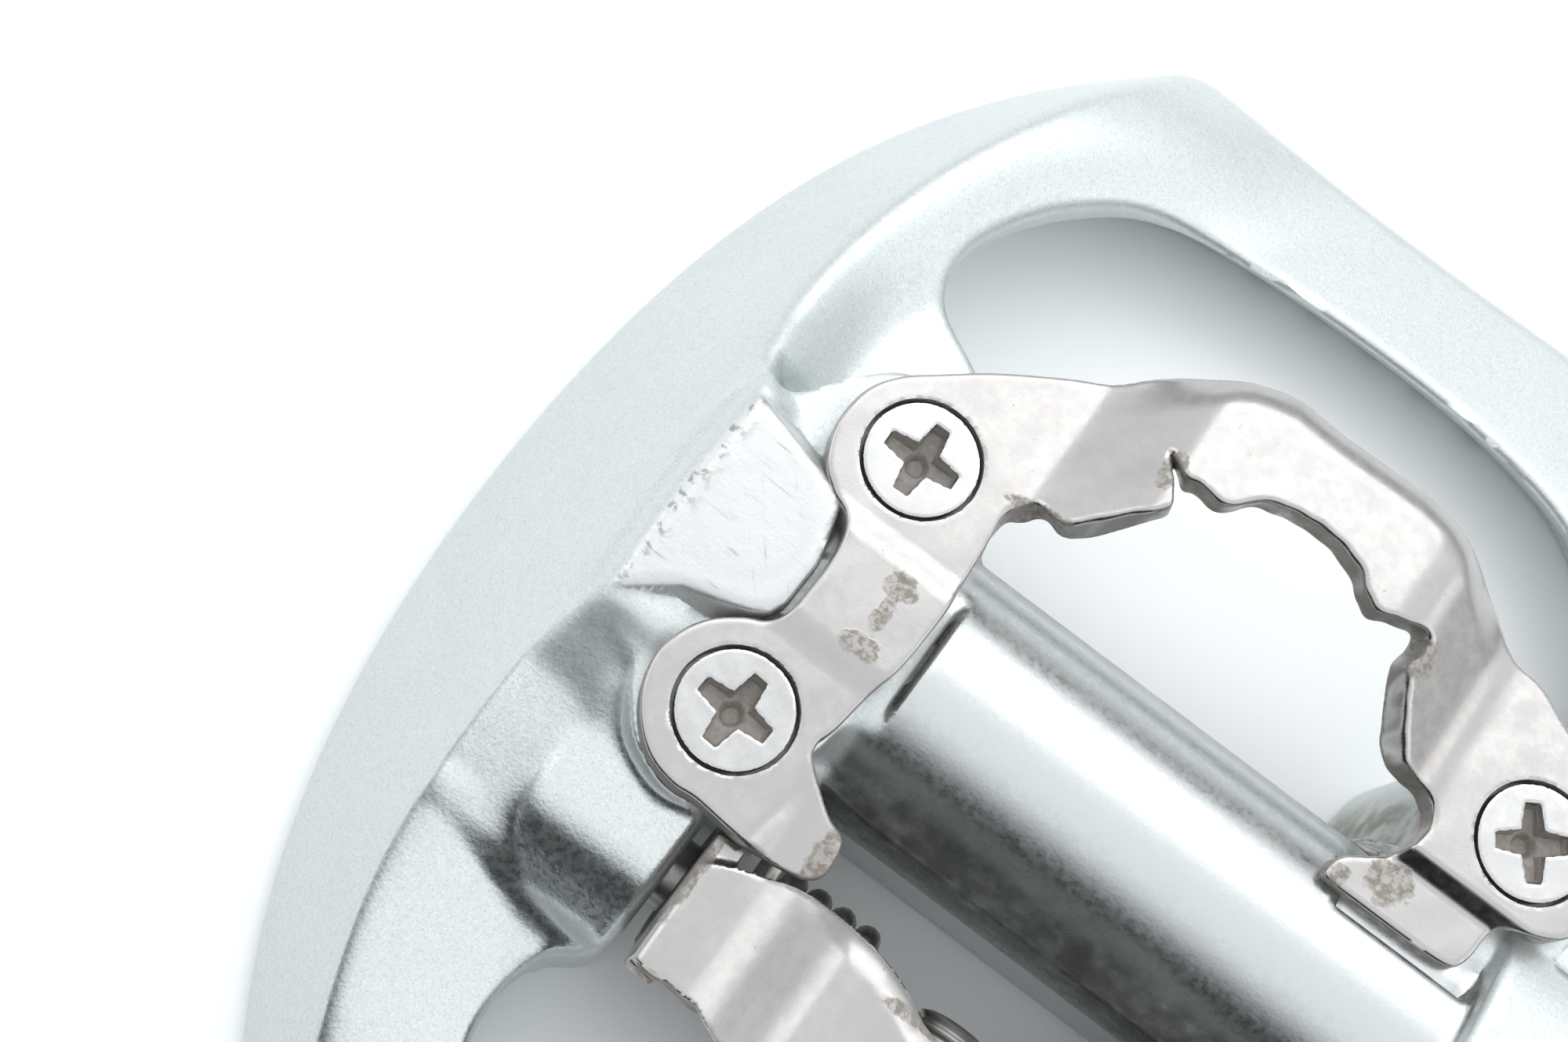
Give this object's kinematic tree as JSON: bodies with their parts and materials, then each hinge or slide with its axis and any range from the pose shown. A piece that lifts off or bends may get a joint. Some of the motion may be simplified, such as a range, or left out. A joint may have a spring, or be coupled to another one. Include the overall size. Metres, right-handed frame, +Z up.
{
  "type": "clipless pedal",
  "caption": "Dual-sided bicycle pedal: sprung cleat binding on one side, flat ring platform on the other, turning on a threaded spindle.",
  "frame": {"origin": "on the spindle axis, at the face of the spindle's shoulder that bears on the crank arm", "axes": "+X along the spindle's thread towards the crank, +Y to the front of the pedal, +Z up with the cleat binding uppermost"},
  "size_m": [0.1129, 0.1096, 0.0261],
  "materials": {
    "bearing_steel": "satin",
    "polished_balls": "polished",
    "bush_plastic": "matte",
    "lock_plastic": "matte",
    "seal_rubber": "matte",
    "silver_casting": "satin",
    "plated_steel": "satin",
    "screw_steel": "satin",
    "spring_steel": "satin"
  },
  "bodies": {
    "axle": {"spindle": "bearing_steel", "race_ring": "bearing_steel", "adjusting_cone": "bearing_steel", "lock_nut": "bearing_steel"},
    "pedal": {"pedal_body": "silver_casting", "bearing_sleeve": "bearing_steel", "inboard_bushing": "bush_plastic", "lock_bolt": "lock_plastic", "axle_seal": "seal_rubber", "binding_plate": "plated_steel", "plate_screws": "screw_steel", "pivot_pin": "bearing_steel", "left_spring": "spring_steel", "right_spring": "spring_steel"},
    "inboard_row": {"inboard_balls": "polished_balls"},
    "outboard_row": {"outboard_balls": "polished_balls"},
    "claw": {"rear_claw": "plated_steel"},
    "tension_screw": {"tension_bolt": "screw_steel"},
    "tension_plate": {"tension_nut": "plated_steel"}
  },
  "joints": [
    {"name": "pedal_spin", "type": "hinge", "parent": "axle", "child": "pedal", "pos_m": [0, 0, 0], "axis": [1, 0, 0], "continuous": true},
    {"name": "inboard_orbit", "type": "hinge", "parent": "axle", "child": "inboard_row", "pos_m": [0, 0, 0], "axis": [1, 0, 0], "continuous": true},
    {"name": "outboard_orbit", "type": "hinge", "parent": "axle", "child": "outboard_row", "pos_m": [0, 0, 0], "axis": [1, 0, 0], "continuous": true},
    {"name": "claw_pivot", "type": "hinge", "parent": "pedal", "child": "claw", "pos_m": [-0.054, -0.0185, -0.001], "axis": [1, 0, 0], "range_deg": [0, 18], "stiffness_Nm_per_rad": 0.5, "deforming": ["left_spring", "right_spring"]},
    {"name": "tension_turn", "type": "hinge", "parent": "claw", "child": "tension_screw", "pos_m": [-0.054, -0.03, 0.0055], "axis": [0, 1, 0], "range_deg": [0, 1440]},
    {"name": "tension_slide", "type": "slide", "parent": "claw", "child": "tension_plate", "axis": [0, -1, 0], "range_m": [0, 0.0032]}
  ],
  "couplings": [
    {"joint": "inboard_orbit", "follows": "pedal_spin", "ratio": 0.584},
    {"joint": "outboard_orbit", "follows": "pedal_spin", "ratio": 0.584},
    {"joint": "tension_slide", "follows": "tension_turn", "m_per_rad": 0.00012732}
  ]
}
